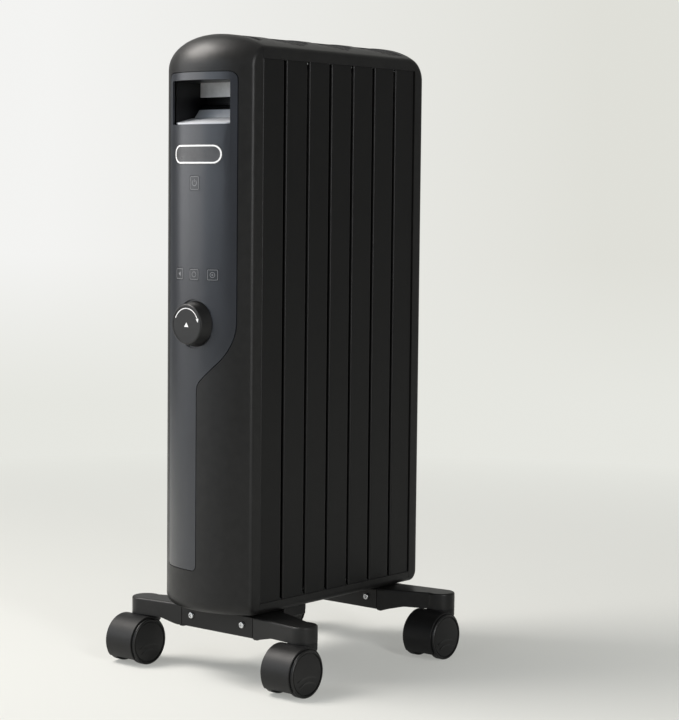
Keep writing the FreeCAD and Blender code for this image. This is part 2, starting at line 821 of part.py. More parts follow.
def tilt_switch():
    x = (tilt_x0 + tilt_x1) / 2
    y = (tilt_y0 + tilt_y1) / 2
    body = box(x - 9, x + 9, y - 7, y + 7, tilt_low + tilt_wall, body_bottom - 1.2)
    return body.fuse(rod(3.5, (x, y, body_bottom - 1.2), Z_AXIS, 1.0)).removeSplitter()


# ---------------------------------------------------------------- crossbars and arms
def crossbar():
    """Front crossbar: steel sleeve between the two front arms."""
    sleeve = box(-bar_half, bar_half, -bar_outer, -bar_inner, arm_low, arm_top)
    long_edges = [e for e in sleeve.Edges if abs(e.Vertexes[0].X - e.Vertexes[-1].X) > 5]
    sleeve = sleeve.makeFillet(1.5, long_edges)
    hollow = box(-bar_half - 1, bar_half + 1, -bar_outer + bar_wall, -bar_inner - bar_wall,
                 arm_low + bar_wall, arm_top - bar_wall)
    sleeve = sleeve.cut(hollow)
    cuts = []
    for x in (-bar_screw_x, bar_screw_x):
        cuts.append(rod(screw_radius, (x, -bar_outer - 1, bar_screw_level), Y_AXIS, bar_depth + 2))
    for x in (-base_bolt_x, base_bolt_x):
        cuts.append(rod(screw_radius, (x, -(bar_outer + bar_inner) / 2, arm_top - bar_wall - 1), Z_AXIS,
                        bar_wall + 2))
    return sleeve.cut(cuts).removeSplitter()


def front_right_arm():
    """A tongue inside the crossbar, a tapering beam and a castor boss."""
    start = bar_half + arm_seam
    corners = [
        (start, -bar_outer, 0), (castor_x - 2.5, -castor_y - boss_radius * 0.985, 0),
        (castor_x, -castor_y, 0),
        (castor_x - boss_radius * 0.34, -castor_y + boss_radius * 0.94, 0),
        (bar_half + 16, -bar_inner - 6.5, 25), (start, -bar_inner, 0),
    ]
    face = Part.Face(outline(corners, in_plan))
    face.translate(Vector(0, 0, arm_low))
    beam = face.extrude(Vector(0, 0, arm_top - arm_low))
    boss = rod(boss_radius, (castor_x, -castor_y, arm_low), Z_AXIS, arm_top - arm_low)
    beam = beam.fuse(boss).removeSplitter()
    crown = [e for e in beam.Edges
             if all(abs(v.Z - arm_top) < 1e-4 for v in e.Vertexes)
             and not all(abs(v.X - start) < 1e-4 for v in e.Vertexes)]
    beam = beam.makeFillet(arm_rounding, crown)
    under = [
        (bar_half - 1, 0, 0), (far, 0, 0), (far, boss_bottom, 0), (arm_lift_end, boss_bottom, 22),
        (arm_lift_start, arm_low, 22), (bar_half - 1, arm_low, 0),
    ]
    lift = Part.Face(outline(under, in_front_view))
    lift.translate(Vector(0, -far, 0))
    beam = beam.cut(lift.extrude(Vector(0, far, 0)))
    inset = bar_wall + tongue_fit
    tongue = box(tongue_end, bar_half + 2, -bar_outer + inset, -bar_inner - inset, arm_low + inset,
                 arm_top - inset)
    lip = box(bar_half, bar_half + 5, -bar_outer + 2, -bar_inner - 2, arm_low - 1.4, arm_low + 2)
    shape = beam.fuse([tongue, lip])
    pilots = [
        rod(screw_radius, (bar_screw_x, -bar_outer, bar_screw_level), Y_AXIS, bar_screw_length),
        rod(screw_radius, (bar_screw_x, -bar_inner - bar_screw_length, bar_screw_level), Y_AXIS,
            bar_screw_length),
    ]
    socket = rod(stem_radius + stem_fit, (castor_x, -castor_y, arm_low - 2), Z_AXIS,
                 stem_top + socket_headroom - arm_low + 2)
    return shape.cut(pilots + [socket]).removeSplitter()


def side_screw(x, y_face, z, direction):
    """Screw with its head on a face at y_face, running along direction in Y."""
    axis = Vector(0, direction, 0)
    shank = rod(screw_radius, (x, y_face, z), axis, bar_screw_length)
    head = rod(screw_head_radius, (x, y_face, z), Vector(0, -direction, 0), screw_head_height)
    rim = [e for e in head.Edges if e.BoundBox.YLength < 1e-4
           and abs(e.Vertexes[0].Y - (y_face - direction * screw_head_height)) < 1e-4]
    head = head.makeFillet(0.8, rim[:1])
    mouth = y_face - direction * screw_head_height * 1.1
    floor = y_face - direction * screw_head_height * 0.5
    y0, y1 = sorted((mouth, floor))
    cross = [
        box(x - cross_half_width, x + cross_half_width, y0, y1, z - cross_reach, z + cross_reach),
        box(x - cross_reach, x + cross_reach, y0, y1, z - cross_half_width, z + cross_half_width),
    ]
    return shank.fuse(head).cut(cross).removeSplitter()


def bar_screws():
    """Screws through both walls of each crossbar into the arms' tongues."""
    solids = []
    for x in (-bar_screw_x, bar_screw_x):
        for y_face, direction in ((-bar_outer, 1), (-bar_inner, -1), (bar_inner, 1), (bar_outer, -1)):
            solids.append(side_screw(x, y_face, bar_screw_level, direction))
    return Part.makeCompound(solids)


def base_bolts():
    """Bolts from inside each crossbar up into the base tray."""
    solids = []
    seat = arm_top - bar_wall
    for x in (-base_bolt_x, base_bolt_x):
        for side in (-1, 1):
            y = side * (bar_outer + bar_inner) / 2
            shank = rod(screw_radius, (x, y, seat), Z_AXIS, bar_wall + base_bolt_reach)
            head = rod(screw_head_radius, (x, y, seat - screw_head_height), Z_AXIS, screw_head_height)
            solids.append(shank.fuse(head).removeSplitter())
    return Part.makeCompound(solids)


# ---------------------------------------------------------------- castors
def castor_hood(x, y):
    """Twin-wheel hood: collar, drum open at both ends, middle web with the axle boss."""
    ay = y - castor_trail
    drum = rod(drum_radius, (x - hood_half, ay, axle_level), X_AXIS, 2 * hood_half)
    ends = [e for e in drum.Edges if e.BoundBox.XLength < 1e-4]
    drum = drum.makeFillet(0.7, ends)
    collar = rod(boss_radius - 0.1, (x, y, collar_bottom), Z_AXIS, collar_height - running_gap)
    bottom_edge = [e for e in collar.Edges if all(abs(v.Z - collar_bottom) < 1e-4 for v in e.Vertexes)
                   and e.BoundBox.ZLength < 1e-4]
    collar = collar.makeFillet(3.0, bottom_edge[:1])
    body = drum.fuse(collar)
    for side in (-1, 1):
        start = x + side * web_half
        cavity = rod(wheel_radius + hood_fit, (start, ay, axle_level), X_AXIS * side, 40)
        body = body.cut(cavity)
    front = math.radians(hood_front_angle)
    back = math.radians(hood_back_angle)
    reach = 60.0
    wedge = [
        (ay - reach * math.cos(front), axle_level - reach * math.sin(front)),
        (ay - 12 * math.cos(front), axle_level - 8.5),
        (ay + 12 * math.cos(back), axle_level - 8.5),
        (ay + reach * math.cos(back), axle_level - reach * math.sin(back)),
        (ay + reach, -reach), (ay - reach, -reach),
    ]
    body = body.cut(along_x(wedge, x - 40, x + 40))
    stem_hole = rod(stem_radius, (x, y, stem_bottom), Z_AXIS, 40)
    axle_hole = rod(axle_radius, (x - 40, ay, axle_level), X_AXIS, 80)
    return body.cut([stem_hole, axle_hole]).removeSplitter()


def castor_stem(x, y):
    shank = rod(stem_radius, (x, y, stem_bottom), Z_AXIS, stem_top - stem_bottom)
    tip = [e for e in shank.Edges if abs(e.Vertexes[0].Z - stem_top) < 1e-4 and e.BoundBox.ZLength < 1e-4]
    return shank.makeFillet(1.0, tip[:1])


def castor_axle(x, y):
    length = 2 * (wheel_outer - 2.4)
    return rod(axle_radius, (x - length / 2, y - castor_trail, axle_level), X_AXIS, length)


def castor_wheel(x, y, side):
    """One wheel: tread ring, disc with a groove and a domed middle, hub on the axle."""
    tread_inner = wheel_outer - wheel_tread
    groove = wheel_radius - 2.4
    cap = groove - 0.9
    bore = axle_radius + axle_fit
    ring = wheel_radius - wheel_rim
    disc = 3.0
    hub_start = web_half + running_gap
    half_profile = [
        (hub_start, bore), (wheel_outer - 2.1, bore), (wheel_outer - 2.1, 0.0), (wheel_outer, 0.0),
        (wheel_outer - 0.1, cap * 0.35), (wheel_outer - 0.35, cap * 0.7), (wheel_outer - 1.0, cap),
        (wheel_outer - 1.8, cap), (wheel_outer - 1.8, groove), (wheel_outer - 0.6, groove),
        (wheel_outer - 0.4, wheel_radius - 1.2), (wheel_outer - 1.0, wheel_radius - 0.3),
        (wheel_outer - 1.6, wheel_radius), (tread_inner + 1.0, wheel_radius),
        (tread_inner, wheel_radius - 1.0), (tread_inner, ring), (wheel_outer - disc - 1.0, ring),
        (wheel_outer - disc - 1.0, wheel_hub_radius), (hub_start, wheel_hub_radius),
    ]
    ay = y - castor_trail
    points = [Vector(x + side * a, ay + b, axle_level) for a, b in half_profile]
    return turned(points, (x, ay, axle_level), X_AXIS)


corners = {
    "front_left": (-castor_x, -castor_y),
    "front_right": (castor_x, -castor_y),
    "rear_left": (-castor_x, castor_y),
    "rear_right": (castor_x, castor_y),
}

write("front_shell", front_shell())
write("rear_shell", rear_shell())
write("top_cover", top_cover())
write("base_tray", base_tray())
write("control_panel", control_panel())
write("name_plate", name_plate())
write("hand_pocket", hand_pocket())
write("grip_plate", grip_plate())
for name, place in button_places().items():
    write(name, push_button(*place))
write("knob", knob())
write("knob_shaft", knob_shaft())
write("encoder", encoder())
write("control_board", control_board())
write("power_board", power_board())
write("heat_shield", heat_shield())
write("radiator_module_1", first_module())
write("radiator_module_2", radiator_module(module_centres[1]))
write("radiator_module_3", radiator_module(module_centres[2]))
write("rear_fin_panel", rear_fin_panel())
write("lower_frame", frame_plate(panel_bottom + seam - frame_thickness))
write("upper_frame", frame_plate(panel_top - seam))
for number, centre in enumerate(module_centres, 1):
    write("heating_element_" + str(number), heating_element(centre))
write("thermal_cutouts", thermal_cutouts())
write("module_screws", module_screws())
write("tilt_switch_box", tilt_switch_box())
write("tilt_switch", tilt_switch())
write("cord_gland", cord_gland())
front_bar = crossbar()
write("crossbar_front", front_bar)
write("crossbar_rear", mirrored_y(front_bar))
write("bar_screws", bar_screws())
write("base_bolts", base_bolts())
front_arm = front_right_arm()
rear_arm = mirrored_y(front_arm)
write("arm_front_right", front_arm)
write("arm_front_left", mirrored_x(front_arm))
write("arm_rear_right", rear_arm)
write("arm_rear_left", mirrored_x(rear_arm))
for place, (x, y) in corners.items():
    write("castor_hood_" + place, castor_hood(x, y))
    write("castor_stem_" + place, castor_stem(x, y))
    write("castor_axle_" + place, castor_axle(x, y))
    outer = 1 if x > 0 else -1
    write("wheel_" + place + "_outer", castor_wheel(x, y, outer))
    write("wheel_" + place + "_inner", castor_wheel(x, y, -outer))
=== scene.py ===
import json
import math

import bmesh
import bpy
from mathutils import Matrix, Vector


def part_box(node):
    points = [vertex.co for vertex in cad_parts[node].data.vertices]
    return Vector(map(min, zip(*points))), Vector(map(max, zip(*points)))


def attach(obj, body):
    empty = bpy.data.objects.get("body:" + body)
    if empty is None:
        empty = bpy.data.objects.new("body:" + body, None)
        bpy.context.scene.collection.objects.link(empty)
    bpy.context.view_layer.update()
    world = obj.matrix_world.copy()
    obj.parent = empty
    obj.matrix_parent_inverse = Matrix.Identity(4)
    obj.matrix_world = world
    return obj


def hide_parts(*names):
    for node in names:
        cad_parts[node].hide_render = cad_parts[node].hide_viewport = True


bl_info = {
    "name": "Castor Radiator",
    "version": (1, 0, 0),
    "blender": (4, 5, 0),
    "location": "3D View > Sidebar > Radiator",
    "description": "Finishes, markings and wheels of a slim electric radiator on castors",
    "category": "Object",
}

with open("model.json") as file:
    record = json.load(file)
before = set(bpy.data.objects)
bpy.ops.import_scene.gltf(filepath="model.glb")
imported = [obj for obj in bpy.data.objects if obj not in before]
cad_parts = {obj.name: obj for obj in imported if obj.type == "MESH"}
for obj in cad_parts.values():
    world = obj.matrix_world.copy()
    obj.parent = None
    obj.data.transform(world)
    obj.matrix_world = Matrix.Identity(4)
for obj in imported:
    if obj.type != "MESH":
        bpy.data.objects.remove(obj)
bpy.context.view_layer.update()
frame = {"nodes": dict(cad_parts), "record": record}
MM = 0.001
LEAST_RADIUS = 0.2 * MM
CAP_INSET = 3.6 * MM
CAP_DOME = 0.9 * MM
CASTORS = ("front_left", "front_right", "rear_left", "rear_right")
BUTTONS = ("left_key", "middle_key", "right_key", "power_button")


# ---------------------------------------------------------------- what a user may change
class RadiatorSizes(bpy.types.PropertyGroup):
    mark_lift: bpy.props.FloatProperty(
        name="Print thickness", description="How far printed marks stand off their surface",
        default=0.12 * MM, unit="LENGTH")
    arc_radius: bpy.props.FloatProperty(
        name="Dial arc radius", description="Radius of the arc printed on the knob",
        default=16.2 * MM, unit="LENGTH")
    arc_width: bpy.props.FloatProperty(
        name="Dial arc width", description="Width of the arc printed on the knob",
        default=0.85 * MM, unit="LENGTH")
    arc_half_angle: bpy.props.FloatProperty(
        name="Dial arc half angle", description="Half of the angle that the arc covers",
        default=math.radians(68), unit="ROTATION")
    pointer_size: bpy.props.FloatProperty(
        name="Pointer size", description="Height of the small triangle on the knob",
        default=4.6 * MM, unit="LENGTH")
    frame_line: bpy.props.FloatProperty(
        name="Key outline width", description="Width of the line printed round each key",
        default=0.5 * MM, unit="LENGTH")
    plate_line: bpy.props.FloatProperty(
        name="Plate rim width", description="Width of the bright rim of the name plate",
        default=1.6 * MM, unit="LENGTH")
    bow_radius: bpy.props.FloatProperty(
        name="Front bow radius", description="Plan curve of the front face",
        default=88.0 * MM, unit="LENGTH")
    wheel_ridges: bpy.props.IntProperty(
        name="Tread grooves", description="Grooves round each wheel's tread", default=2, min=0, max=5)


class RadiatorColours(bpy.types.PropertyGroup):
    body: bpy.props.FloatVectorProperty(
        name="Body", description="Moulded shells", subtype="COLOR", default=(0.010, 0.0099, 0.0097))
    panels: bpy.props.FloatVectorProperty(
        name="Panels", description="Coated radiating panels", subtype="COLOR", default=(0.004, 0.004, 0.004))
    gloss: bpy.props.FloatVectorProperty(
        name="Control panel", description="Polished control panel", subtype="COLOR",
        default=(0.012, 0.014, 0.019))
    print: bpy.props.FloatVectorProperty(
        name="Print", description="Printed marks", subtype="COLOR", default=(0.86, 0.86, 0.86))
    faint: bpy.props.FloatVectorProperty(
        name="Faint print", description="Marks on the keys", subtype="COLOR", default=(0.20, 0.205, 0.215))
    castors: bpy.props.FloatVectorProperty(
        name="Castors", description="Hoods and wheels", subtype="COLOR", default=(0.0045, 0.0045, 0.0045))
    steel: bpy.props.FloatVectorProperty(
        name="Steel", description="Plated steel", subtype="COLOR", default=(0.56, 0.57, 0.58))


class RadiatorStudio(bpy.types.PropertyGroup):
    front_power: bpy.props.FloatProperty(
        name="Front light", description="Power of the broad soft light in front", default=26.0, min=0.0)
    top_power: bpy.props.FloatProperty(
        name="Top light", description="Power of the overhead soft light", default=15.0, min=0.0)
    crown_power: bpy.props.FloatProperty(
        name="Crown light", description="Power of the soft light on the rounded top", default=38.0, min=0.0)
    side_power: bpy.props.FloatProperty(
        name="Side light", description="Power of the narrow light on the right", default=20.0, min=0.0)
    world_strength: bpy.props.FloatProperty(
        name="Ambient", description="Level of the light from all round", default=0.12, min=0.0)
    floor: bpy.props.FloatVectorProperty(
        name="Floor", description="Colour of floor and backdrop", subtype="COLOR",
        default=(0.68, 0.685, 0.66))


# ---------------------------------------------------------------- shader graphs
class Value:
    """A socket in a material's graph that takes part in Python expressions."""

    def __init__(self, graph, socket):
        self.graph = graph
        self.socket = socket

    def _math(self, operation, first, second):
        return self.graph.node("Math", {0: first, 1: second}, operation=operation)

    def __add__(self, other):
        return self._math("ADD", self, other)

    __radd__ = __add__

    def __sub__(self, other):
        return self._math("SUBTRACT", self, other)

    def __rsub__(self, other):
        return self._math("SUBTRACT", other, self)

    def __mul__(self, other):
        return self._math("MULTIPLY", self, other)

    __rmul__ = __mul__

    def __truediv__(self, other):
        return self._math("DIVIDE", self, other)

    def __gt__(self, other):
        return self._math("GREATER_THAN", self, other)

    def __lt__(self, other):
        return self._math("LESS_THAN", self, other)


class Graph:
    """The node graph of one material, with its surface shader at the end."""

    def __init__(self, name):
        self.material = bpy.data.materials.new(name)
        self.material.use_nodes = True
        self.tree = self.material.node_tree
        self.tree.nodes.clear()
        self.output = self.tree.nodes.new("ShaderNodeOutputMaterial")
        self.place = self.node("TexCoord", output="Object")

    def node(self, kind, inputs=None, output=0, stops=None, **settings):
        """Adds a node with its settings, colour stops and inputs, and returns one of its outputs."""
        made = self.tree.nodes.new("ShaderNode" + kind)
        for name, value in settings.items():
            setattr(made, name, value)
        if stops:
            ramp = made.color_ramp
            while len(ramp.elements) < len(stops):
                ramp.elements.new(0.5)
            for element, (position, color) in zip(ramp.elements, stops):
                element.position = position
                element.color = (*color, 1.0)
        for name, value in (inputs or {}).items():
            if isinstance(value, Value):
                self.tree.links.new(value.socket, made.inputs[name])
            else:
                made.inputs[name].default_value = value
        return Value(self, made.outputs[output])

    def noise(self, size, detail=3.0, roughness=0.55, stretch=(1, 1, 1)):
        """Noise between 0 and 1 whose blobs are about size metres across."""
        place = self.place
        if stretch != (1, 1, 1):
            place = self.node("Mapping", {"Vector": place, "Scale": stretch})
        return self.node("TexNoise", {"Vector": place, "Scale": 1.0 / size, "Detail": detail,
                                      "Roughness": roughness})

    def cells(self, size):
        """Distance from the middle of cells that are about size metres across."""
        return self.node("TexVoronoi", {"Vector": self.place, "Scale": 1.0 / size}, output="Distance",
                         feature="F1")

    def axis(self, name):
        """X, Y or Z in the object's own coordinates."""
        return self.node("SeparateXYZ", {0: self.place}, output=name)

    def shades(self, factor, stops):
        """Colour ramp with its stops as (position, colour)."""
        return self.node("ValToRGB", {"Fac": factor}, stops=stops)

    def mix(self, factor, first, second):
        """Colour mix. The first colour shows where the factor is 0."""
        made = self.tree.nodes.new("ShaderNodeMix")
        made.data_type = "RGBA"
        for index, value in ((0, factor), (6, first), (7, second)):
            if isinstance(value, Value):
                self.tree.links.new(value.socket, made.inputs[index])
            else:
                made.inputs[index].default_value = value if index == 0 else (*value, 1.0)
        return Value(self, made.outputs[2])

    def bump(self, height, strength, distance):
        return self.node("Bump", {"Height": height, "Strength": strength, "Distance": distance})

    def finish(self, **inputs):
        """Ends the graph in a principled shader. A socket's name has _ for each space."""
        named = {name.replace("_", " "): value for name, value in inputs.items()}
        shader = self.node("BsdfPrincipled", named)
        self.tree.links.new(shader.socket, self.output.inputs["Surface"])
        return self.material


def tint(color, factor):
    return tuple(channel * factor for channel in color)


def worn_color(graph, color, spread=0.18, patch=9 * MM):
    """Moulding colour with faint cloudy patches and tiny pale specks of dust."""
    clouds = graph.noise(patch, detail=4.0)
    base = graph.shades(clouds, [(0.3, tint(color, 1 - spread)), (0.7, tint(color, 1 + spread))])
    specks = graph.noise(0.5 * MM, detail=2.0) > 0.735
    return graph.mix(specks * 0.35, base, tint(color, 2.4))


def eroded_plastic(name, color, roughness=0.40, grain=0.45 * MM, depth=0.05 * MM):
    """Matt moulded plastic with a spark-eroded grain."""
    graph = Graph(name)
    grain_height = graph.noise(grain, detail=4.0, roughness=0.7)
    pits = graph.cells(grain * 1.6)
    rough = graph.noise(14 * MM) * 0.10 + (roughness - 0.05)
    normal = graph.bump(grain_height + pits * 0.5, 0.5, depth)
    return graph.finish(Base_Color=worn_color(graph, color), Roughness=rough, Normal=normal, IOR=1.36)


def powder_coat(name, color, roughness=0.40):
    """Baked powder on metal: soft orange peel and a fine sparkle of grain."""
    graph = Graph(name)
    peel = graph.noise(1.6 * MM, detail=1.0)
    grain = graph.noise(0.3 * MM, detail=3.0, roughness=0.75)
    rough = graph.noise(30 * MM) * 0.08 + grain * 0.06 + (roughness - 0.07)
    normal = graph.bump(peel + grain * 0.35, 0.35, 0.06 * MM)
    color_map = worn_color(graph, color, spread=0.10, patch=25 * MM)
    return graph.finish(Base_Color=color_map, Roughness=rough, Normal=normal, IOR=1.34)


def polished_plastic(name, color, roughness=0.33):
    """Polished moulding with faint finger smears and hairline scratches."""
    graph = Graph(name)
    smears = graph.noise(26 * MM, detail=3.0, stretch=(1.0, 1.0, 0.35))
    scratches = graph.noise(0.35 * MM, detail=1.0, stretch=(1.0, 1.0, 0.03)) > 0.77
    rough = smears * 0.06 + scratches * 0.10 + (roughness - 0.03)
    color_map = graph.shades(smears, [(0.3, tint(color, 0.85)), (0.75, tint(color, 1.2))])
    normal = graph.bump(graph.noise(35 * MM, detail=0.0), 0.05, 0.2 * MM)
    return graph.finish(Base_Color=color_map, Roughness=rough, Normal=normal, IOR=1.5,
                        Coat_Weight=0.3, Coat_Roughness=0.24)


def satin_plastic(name, color, roughness=0.34, ior=1.45):
    """Smooth satin moulding with soft flow marks."""
    graph = Graph(name)
    flow = graph.noise(6 * MM, detail=2.0, stretch=(1.0, 0.4, 1.0))
    grain = graph.noise(0.25 * MM, detail=2.0)
    rough = flow * 0.12 + (roughness - 0.06)
    normal = graph.bump(grain, 0.22, 0.025 * MM)
    return graph.finish(Base_Color=worn_color(graph, color, spread=0.12), Roughness=rough, Normal=normal,
                        IOR=ior)


def pocket_plastic(name, color, painted_light_floor_color):
    """Satin lining whose floor is painted pale: a painted reflection of the light that the slope and sill
    catch.
    """
    graph = Graph(name)
    low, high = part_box("hand_pocket")
    wall = 2.2 * MM
    painted_light_floor_share = 0.36
    across = graph.node("Math", {0: graph.axis("X")}, operation="ABSOLUTE") < high[0] - wall
    painted_light_floor_band = graph.axis("Z") < low[2] + (high[2] - low[2]) * painted_light_floor_share
    soft = graph.noise(0.6 * MM, detail=3.0)
    # The lower band inside the walls gets the pale colour, a painted reflection standing in for light on the
    # slope and sill.
    shade = graph.mix(across * painted_light_floor_band, worn_color(graph, color, spread=0.1), painted_light_floor_color)
    return graph.finish(Base_Color=shade, Roughness=soft * 0.1 + 0.32, IOR=1.45,
                        Normal=graph.bump(soft, 0.2, 0.03 * MM))


def plated_steel(name, color, roughness=0.3, direction=(1.0, 1.0, 0.06)):
    """Plated steel with rolling streaks and a mottled passivation bloom."""
    graph = Graph(name)
    streaks = graph.noise(0.4 * MM, detail=2.0, stretch=direction)
    bloom = graph.noise(12 * MM, detail=4.0)
    shade = graph.shades(bloom, [(0.25, tint(color, 0.8)), (0.6, color), (0.85, tint(color, 1.15))])
    rough = streaks * 0.14 + bloom * 0.08 + (roughness - 0.1)
    normal = graph.bump(streaks, 0.25, 0.02 * MM)
    return graph.finish(Base_Color=shade, Metallic=1.0, Roughness=rough, Normal=normal)


def annealed_sheath(name, color):
    """Element sheath, straw and blue from heat in bands along its length."""
    graph = Graph(name)
    along = graph.axis("Z") * 3.2 + graph.noise(40 * MM, detail=3.0) * 0.5
    bands = graph.node("Math", {0: along}, operation="FRACT")
    straw = (0.33, 0.24, 0.13)
    blue = (0.17, 0.15, 0.24)
    shade = graph.shades(bands, [(0.0, tint(color, 0.9)), (0.35, straw), (0.6, blue),
                                 (1.0, tint(color, 0.8))])
    streaks = graph.noise(0.5 * MM, detail=2.0, stretch=(1.0, 1.0, 0.05))
    return graph.finish(Base_Color=shade, Metallic=1.0, Roughness=streaks * 0.2 + 0.25,
                        Normal=graph.bump(streaks, 0.2, 0.03 * MM))


def circuit_board(name):
    """Green solder mask over copper traces, with tinned pads."""
    graph = Graph(name)
    lanes = graph.node("Math", {0: graph.axis("X") / (1.9 * MM)}, operation="FRACT")
    blocks = graph.noise(9 * MM, detail=0.0) > 0.5
    rows = graph.node("Math", {0: graph.axis("Z") / (2.3 * MM)}, operation="FRACT")
    traces = (lanes < 0.32) * blocks + (rows < 0.28) * (1 - blocks)
    pads = graph.cells(3.4 * MM) < 0.16
    mask = (0.006, 0.085, 0.030)
    mask_over_copper = (0.018, 0.17, 0.060)
    tin = (0.60, 0.58, 0.52)
    shade = graph.mix(pads, graph.mix(traces, mask, mask_over_copper), tin)
    rough = 0.28 + graph.noise(3 * MM) * 0.12
    return graph.finish(Base_Color=shade, Roughness=rough, Metallic=pads * 0.9,
                        Normal=graph.bump(traces + pads * 2.0, 0.5, 0.05 * MM))


def speckled_resin(name, dark, light, roughness=0.5):
    """Filled resin or ceramic with speckles of two shades."""
    graph = Graph(name)
    speckle = graph.noise(0.7 * MM, detail=3.0, roughness=0.8)
    shade = graph.shades(speckle, [(0.35, dark), (0.65, light)])
    return graph.finish(Base_Color=shade, Roughness=speckle * 0.2 + (roughness - 0.1),
                        Normal=graph.bump(speckle, 0.3, 0.05 * MM))


def soft_rubber(name, color):
    """Dull rubber with a powdery bloom."""
    graph = Graph(name)
    bloom = graph.noise(4 * MM, detail=5.0, roughness=0.7)
    shade = graph.shades(bloom, [(0.35, color), (0.8, tint(color, 1.9))])
    return graph.finish(Base_Color=shade, Roughness=bloom * 0.2 + 0.62,
                        Normal=graph.bump(graph.noise(0.5 * MM, detail=3.0), 0.4, 0.05 * MM))


def printed_ink(name, color, thin=0.25):
    """Screen-printed ink, a little uneven where it is thin."""
    graph = Graph(name)
    cover = graph.noise(0.8 * MM, detail=3.0)
    shade = graph.shades(cover, [(0.25, tint(color, 1 - thin)), (0.6, color)])
    return graph.finish(Base_Color=shade, Roughness=cover * 0.15 + 0.38,
                        Normal=graph.bump(cover, 0.15, 0.02 * MM))


def wheel_plastic(name, color):
    """Hard castor plastic with scuffs."""
    graph = Graph(name)
    scuffs = graph.noise(2.2 * MM, detail=5.0, roughness=0.75, stretch=(0.4, 1.0, 1.0))
    shade = graph.shades(scuffs, [(0.4, color), (0.72, tint(color, 1.35)), (0.8, tint(color, 2.6))])
    rough = scuffs * 0.22 + 0.28
    return graph.finish(Base_Color=shade, Roughness=rough,
                        Normal=graph.bump(graph.noise(0.4 * MM, detail=3.0), 0.25, 0.04 * MM), IOR=1.42)


# ---------------------------------------------------------------- shapes
def sizes_now():
    return bpy.context.scene.radiator_sizes


def colours():
    return bpy.context.scene.radiator_colours


def new_piece(name, shape, body, material, smooth=True):
    """Turns a bmesh into an object that rides on a body."""
    bmesh.ops.remove_doubles(shape, verts=shape.verts, dist=1e-6)
    bmesh.ops.recalc_face_normals(shape, faces=shape.faces)
    mesh = bpy.data.meshes.new(name)
    shape.to_mesh(mesh)
    shape.free()
    piece = bpy.data.objects.new(name, mesh)
    bpy.context.scene.collection.objects.link(piece)
    mesh.materials.append(material)
    if smooth:
        mesh.polygons.foreach_set("use_smooth", [True] * len(mesh.polygons))
        mesh.set_sharp_from_angle(angle=math.radians(35))
    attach(piece, body)
    return piece


def middle(node):
    """Middle of a node's box."""
    low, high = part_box(node)
    return (Vector(low) + Vector(high)) / 2


def front_middle(node):
    """Middle of the front face of a node's box."""
    low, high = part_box(node)
    return Vector(((low[0] + high[0]) / 2, low[1], (low[2] + high[2]) / 2))


def raise_sheet(shape, faces, lift):
    """Gives flat faces a thickness along -Y, so that they become a closed thin plate."""
    made = bmesh.ops.extrude_face_region(shape, geom=faces)
    moved = [v for v in made["geom"] if isinstance(v, bmesh.types.BMVert)]
    bmesh.ops.translate(shape, verts=moved, vec=(0, -lift, 0))


def arc_strip(shape, centre, radius, width, start, end, steps=40):
    """Flat strip along an arc that faces -Y. Angles run from straight up towards +X."""
    inner = radius - width / 2
    outer = radius + width / 2
    out = Vector((math.sin(start), 0, math.cos(start)))
    ends = [shape.verts.new(centre + out * r) for r in (inner, outer)]
    edge = shape.edges.new(ends)
    bmesh.ops.spin(shape, geom=[edge, *ends], cent=centre, axis=(0, 1, 0), angle=end - start, steps=steps,
                   use_merge=False)


def triangle(shape, tip, direction, length, width):
    """Flat triangle that faces -Y, with its tip at a point."""
    side = Vector((direction.z, 0, -direction.x)) * (width / 2)
    base = tip - direction * length
    shape.faces.new([shape.verts.new(p) for p in (tip, base + side, base - side)])


def capsule_loop(shape, centre, half_x, half_z, radius, steps=10):
    """Closed loop of edges round a rounded rectangle in the plane y = centre.y."""
    verts = []
    for corner in range(4):
        across = -1 if corner in (1, 2) else 1
        up = -1 if corner in (2, 3) else 1
        pivot = centre + Vector((across * (half_x - radius), 0, up * (half_z - radius)))
        for step in range(steps + 1):
            angle = math.pi / 2 * (corner + step / steps)
            out = Vector((math.cos(angle), 0, math.sin(angle)))
            verts.append(shape.verts.new(pivot + out * radius))
    return [shape.edges.new((verts[i - 1], verts[i])) for i in range(len(verts))]


def ring_plate(shape, centre, half_x, half_z, radius, width):
    """Flat rounded ring that faces -Y."""
    outer = capsule_loop(shape, centre, half_x, half_z, radius)
    inner = capsule_loop(shape, centre, half_x - width, half_z - width, max(radius - width, LEAST_RADIUS))
    bmesh.ops.bridge_loops(shape, edges=outer + inner)


def follow_bow(shape, centre, sink):
    """Lays a flat thin plate on the bowed front face. Its heights over centre.y stay, less a small sink."""
    radius = sizes_now().bow_radius
    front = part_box("front_shell")[0][1]
    for vert in shape.verts:
        height = vert.co.y - centre.y
        depth = radius - math.sqrt(radius ** 2 - vert.co.x ** 2)
        vert.co.y = front + depth + height + sink


def wheels():
    """Each wheel's label, its node, the corners of its box, and 1 or -1 for the way its cap faces along X."""
    for castor in CASTORS:
        hood = middle("castor_hood_" + castor)
        for side in ("outer", "inner"):
            node = f"wheel_{castor}_{side}"
            low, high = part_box(node)
            yield f"{castor}_{side}", node, low, high, 1 if middle(node).x > hood.x else -1


